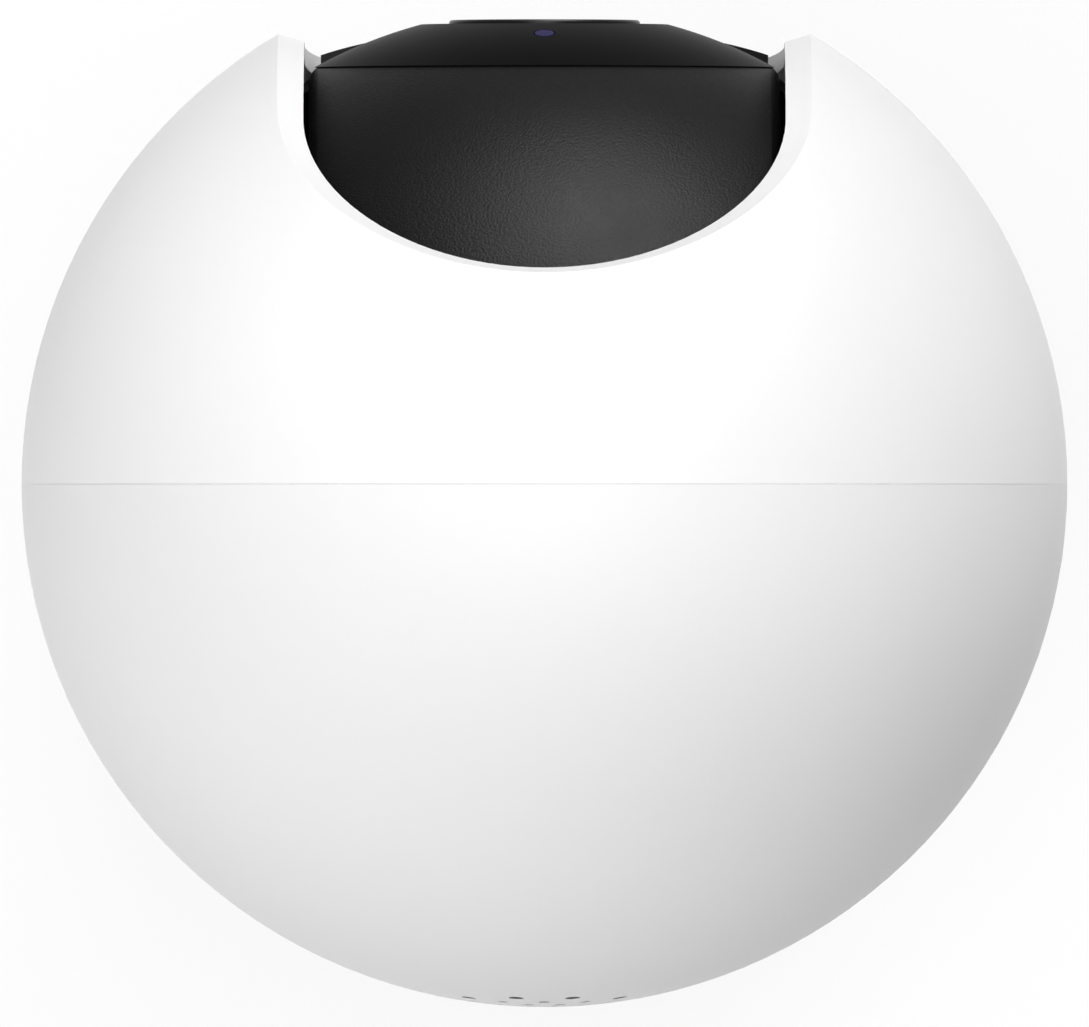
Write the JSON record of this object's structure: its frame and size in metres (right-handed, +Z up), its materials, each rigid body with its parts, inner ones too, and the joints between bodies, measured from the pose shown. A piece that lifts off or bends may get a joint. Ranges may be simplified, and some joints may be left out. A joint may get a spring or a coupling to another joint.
{
  "type": "smart speaker with a tilting camera eye",
  "caption": "White ball head that pans on a round base, with a black camera eye tilting in a round-ended slot, a ringed lens, a status light and a pierced speaker grille behind.",
  "frame": {"origin": "centre of the underside of the rubber foot, on the surface that the speaker stands on", "axes": "+Z up through the ball along the pan axis, -Y to the front where the eye looks, +X along the tilt axis"},
  "size_m": [0.088, 0.083, 0.11],
  "materials": {
    "white_shell": "satin, very fine spark texture",
    "white_rear": "satin, very fine spark texture",
    "white_base": "satin",
    "black_grain": "leather-like moulded grain",
    "black_satin": "smooth satin",
    "black_gloss": "polished",
    "black_liner": "fine matt",
    "dark_glass": "clear, slightly smoked",
    "lens_glass": "coated optical glass",
    "status_violet": "translucent, lit from behind",
    "inner_white": "moulded acetal",
    "inner_grey": "moulded",
    "steel": "plated",
    "screw_steel": "zinc plated",
    "brass": "turned",
    "board_green": "solder mask",
    "chip_black": "moulded epoxy",
    "rubber": "matt",
    "foam": "closed cell foam",
    "cone_paper": "pressed paper",
    "copper": "enamelled winding",
    "aerial_film": "polyimide film"
  },
  "bodies": {
    "base": {"base_housing": "white_base", "base_cover": "white_base", "foot_pad": "rubber", "ballast_plate": "steel", "pan_bush": "inner_white", "pan_motor": "steel", "power_board": "board_green", "power_socket": "steel", "setup_switch": "chip_black", "base_cover_screws": "screw_steel", "pan_motor_screws": "screw_steel", "power_board_screws": "screw_steel"},
    "head": {"front_shell": "white_shell", "rear_shell": "white_rear", "slot_liner": "black_liner", "head_base": "white_rear", "retaining_ring": "steel", "pan_gear": "inner_white", "pan_key": "steel", "chassis": "inner_grey", "tilt_bushes": "inner_white", "tilt_motor": "steel", "main_board": "board_green", "processor_shield": "steel", "board_connectors": "inner_white", "aerial": "aerial_film", "speaker_gasket": "foam", "speaker_basket": "inner_grey", "speaker_cone": "cone_paper", "voice_coil": "copper", "speaker_magnet": "steel", "shell_screws": "screw_steel", "chassis_screws": "screw_steel", "tilt_motor_screws": "screw_steel", "main_board_screws": "screw_steel", "speaker_screws": "screw_steel"},
    "eye": {"eye_drum": "black_grain", "eye_back_cover": "black_satin", "eye_bezel": "black_satin", "lens_ring": "black_gloss", "lens_window": "dark_glass", "camera_board": "board_green", "camera_barrel": "chip_black", "camera_lens": "lens_glass", "microphone": "brass", "status_light": "status_violet", "tilt_pins": "steel", "tilt_gear": "inner_white", "tilt_collar": "inner_white", "camera_board_screws": "screw_steel", "back_cover_screws": "screw_steel", "pivot_screws": "screw_steel"},
    "tilt_drive": {"tilt_pinion": "brass", "tilt_motor_shaft": "steel"},
    "pan_drive": {"pan_pinion": "brass", "pan_motor_shaft": "steel"},
    "button": {"setup_button": "inner_grey"}
  },
  "joints": [
    {"name": "pan", "type": "hinge", "parent": "base", "child": "head", "pos_m": [0, 0, 0.0235], "axis": [0, 0, 1], "range_deg": [-170, 170]},
    {"name": "tilt", "type": "hinge", "parent": "head", "child": "eye", "pos_m": [0, 0, 0.06599], "axis": [-1, 0, 0], "range_deg": [-5, 36]},
    {"name": "tilt_pinion_spin", "type": "hinge", "parent": "head", "child": "tilt_drive", "pos_m": [0.0249, 0.01187, 0.05602], "axis": [-1, 0, 0], "range_deg": [-151, 22]},
    {"name": "pan_pinion_spin", "type": "hinge", "parent": "base", "child": "pan_drive", "pos_m": [0, -0.019, 0.006], "axis": [0, 0, 1], "range_deg": [-908, 908]},
    {"name": "button_press", "type": "slide", "parent": "base", "child": "button", "axis": [0.5299, -0.848, 0], "range_m": [0, 0.0005], "stiffness_N_per_m": 600}
  ],
  "couplings": [
    {"joint": "tilt_pinion_spin", "follows": "tilt", "ratio": -4.1667},
    {"joint": "pan_pinion_spin", "follows": "pan", "ratio": -5.3333}
  ]
}
